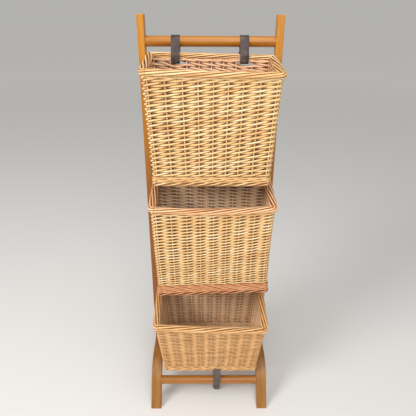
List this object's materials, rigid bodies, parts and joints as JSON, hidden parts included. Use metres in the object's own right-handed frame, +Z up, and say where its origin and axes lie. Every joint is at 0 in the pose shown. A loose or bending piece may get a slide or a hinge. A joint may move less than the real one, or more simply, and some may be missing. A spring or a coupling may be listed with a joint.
{
  "type": "basket stand",
  "caption": "Free-standing narrow wooden stand on arched feet, with deep open wicker baskets hung one above another from round rungs by buckled straps.",
  "frame": {"origin": "on the floor, midway between the two feet, under the posts' centre line", "axes": "+Z up, -Y to the front where the baskets hang, +X to a viewer's right who faces the front"},
  "size_m": [0.42, 0.473, 1.3046],
  "materials": {
    "frame_wood": "clear satin varnish",
    "foot_wood": "clear satin varnish",
    "light_wicker": "varnished split willow",
    "brown_wicker": "varnished split willow",
    "strap_leather": "smooth",
    "buckle_metal": "aged nickel"
  },
  "bodies": {
    "stand": {"left_post": "frame_wood", "left_foot": "foot_wood", "right_post": "frame_wood", "right_foot": "foot_wood", "upper_rung": "frame_wood", "middle_rung": "frame_wood", "lower_rung": "frame_wood", "front_foot_rung": "frame_wood", "rear_foot_rung": "frame_wood", "foot_screws": "buckle_metal", "bottom_basket_base": "brown_wicker", "bottom_basket_foot_border": "brown_wicker", "bottom_basket_waling": "brown_wicker", "bottom_basket_siding": "brown_wicker", "bottom_basket_border": "brown_wicker", "bottom_left_strap": "strap_leather", "bottom_left_buckle": "buckle_metal", "bottom_left_prong": "buckle_metal", "bottom_right_strap": "strap_leather", "bottom_right_buckle": "buckle_metal", "bottom_right_prong": "buckle_metal", "bottom_strap_rivets": "buckle_metal", "tie_strap": "strap_leather", "tie_buckle": "buckle_metal", "tie_prong": "buckle_metal", "tie_rivet": "buckle_metal"},
    "upper_basket": {"upper_basket_base": "light_wicker", "upper_basket_foot_border": "light_wicker", "upper_basket_waling": "light_wicker", "upper_basket_siding": "light_wicker", "upper_basket_border": "light_wicker", "upper_left_strap": "strap_leather", "upper_left_buckle": "buckle_metal", "upper_left_prong": "buckle_metal", "upper_right_strap": "strap_leather", "upper_right_buckle": "buckle_metal", "upper_right_prong": "buckle_metal", "upper_strap_rivets": "buckle_metal"},
    "middle_basket": {"middle_basket_base": "light_wicker", "middle_basket_foot_border": "light_wicker", "middle_basket_waling": "light_wicker", "middle_basket_siding": "light_wicker", "middle_basket_border": "light_wicker", "middle_left_strap": "strap_leather", "middle_left_buckle": "buckle_metal", "middle_left_prong": "buckle_metal", "middle_right_strap": "strap_leather", "middle_right_buckle": "buckle_metal", "middle_right_prong": "buckle_metal", "middle_strap_rivets": "buckle_metal"}
  },
  "joints": [
    {"name": "upper_basket_swing", "type": "hinge", "parent": "stand", "child": "upper_basket", "pos_m": [0, 0, 1.2326], "axis": [-1, 0, 0], "range_deg": [0, 40]},
    {"name": "middle_basket_swing", "type": "hinge", "parent": "stand", "child": "middle_basket", "pos_m": [0, 0, 0.8637], "axis": [-1, 0, 0], "range_deg": [0, 11]}
  ]
}
